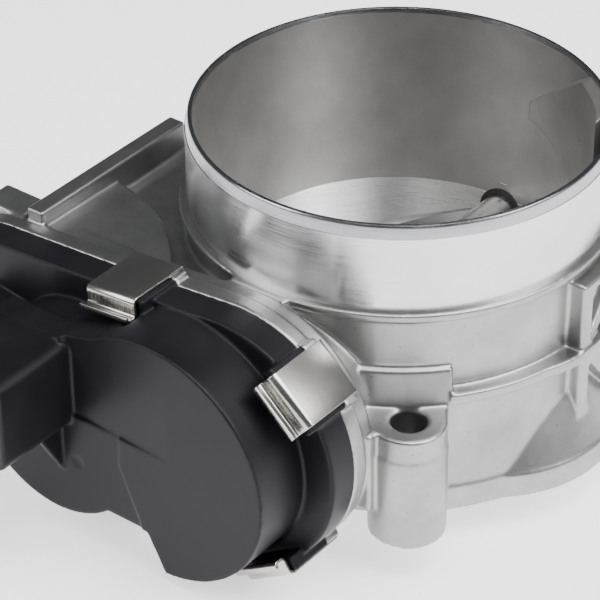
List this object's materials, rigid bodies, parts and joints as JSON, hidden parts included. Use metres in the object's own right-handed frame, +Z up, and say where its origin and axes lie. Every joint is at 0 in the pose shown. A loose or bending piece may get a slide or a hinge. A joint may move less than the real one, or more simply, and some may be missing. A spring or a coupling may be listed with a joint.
{
  "type": "electronic throttle body",
  "caption": "Electronic throttle body: cast aluminium bore with a pivoting plate, geared motor drive and a clipped black cover.",
  "frame": {"origin": "centre of the bore at the engine-side mounting face", "axes": "+Z up the bore to the inlet, +X along the throttle shaft away from the gear case, +Y to the motor"},
  "size_m": [0.1664, 0.1502, 0.0855],
  "materials": {
    "cast_aluminium": "sand-textured die casting with machined collar and bore",
    "black_plastic": "satin moulded",
    "stainless": "brushed spring steel",
    "steel": "ground",
    "plated_steel": "zinc plated",
    "bearing_steel": "polished",
    "spring_steel": "oil hardened wire",
    "plate_aluminium": "machined",
    "bronze": "sintered",
    "copper_contact": "tin plated contact",
    "copper_wire": "enamelled",
    "black_rubber": "smooth",
    "green_rubber": "smooth",
    "ivory_plastic": "moulded",
    "magnet": "sintered ferrite",
    "board_green": "solder mask",
    "black_resin": "epoxy",
    "motor_steel": "drawn can",
    "lamination": "laminated core",
    "carbon": "carbon brush"
  },
  "bodies": {
    "housing": {"throttle_housing": "cast_aluminium", "gear_cover": "black_plastic", "cover_gasket": "green_rubber", "cover_clips": "stainless", "connector_pins": "copper_contact", "sensor_board": "board_green", "sensor_chip": "black_resin", "lead_frame": "copper_contact", "gear_bearing_outer": "bearing_steel", "gear_bearing_balls": "bearing_steel", "far_bearing_shell": "bearing_steel", "far_bearing_needles": "bearing_steel", "gear_side_seal": "black_rubber", "far_side_seal": "black_rubber", "shaft_end_plug": "plated_steel", "return_spring": "spring_steel", "spring_bush": "ivory_plastic", "intermediate_pin": "steel", "thrust_washer": "bronze", "motor_case": "motor_steel", "motor_end_plate": "black_resin", "motor_magnets": "magnet", "motor_rear_bush": "bronze", "motor_wave_washer": "plated_steel", "motor_brushes": "carbon", "motor_blades": "copper_contact", "cover_contacts": "copper_contact", "motor_screws": "plated_steel", "stop_screw": "plated_steel", "inter_cap_bush": "bronze"},
    "throttle": {"throttle_shaft": "steel", "throttle_plate": "plate_aluminium", "plate_screws": "plated_steel", "gear_bearing_inner": "bearing_steel", "sector_gear": "ivory_plastic", "sector_insert": "steel", "sensor_magnet": "magnet"},
    "intermediate": {"intermediate_gear": "ivory_plastic"},
    "motor_rotor": {"motor_shaft": "steel", "motor_core": "lamination", "motor_windings": "copper_wire", "motor_commutator": "copper_contact", "motor_pinion": "bronze"}
  },
  "joints": [
    {"name": "throttle_turn", "type": "hinge", "parent": "housing", "child": "throttle", "pos_m": [0, 0, 0.0255], "axis": [-1, 0, 0], "range_deg": [-20, 64], "stiffness_Nm_per_rad": 0.05},
    {"name": "intermediate_turn", "type": "hinge", "parent": "housing", "child": "intermediate", "pos_m": [-0.07, 0.036, 0.021], "axis": [-1, 0, 0], "range_deg": [-195, 63]},
    {"name": "motor_turn", "type": "hinge", "parent": "housing", "child": "motor_rotor", "pos_m": [-0.03, 0.06292, 0.02872], "axis": [-1, 0, 0], "range_deg": [-202, 640]}
  ],
  "couplings": [
    {"joint": "intermediate_turn", "follows": "throttle_turn", "ratio": -3},
    {"joint": "motor_turn", "follows": "throttle_turn", "ratio": 9.9231}
  ]
}
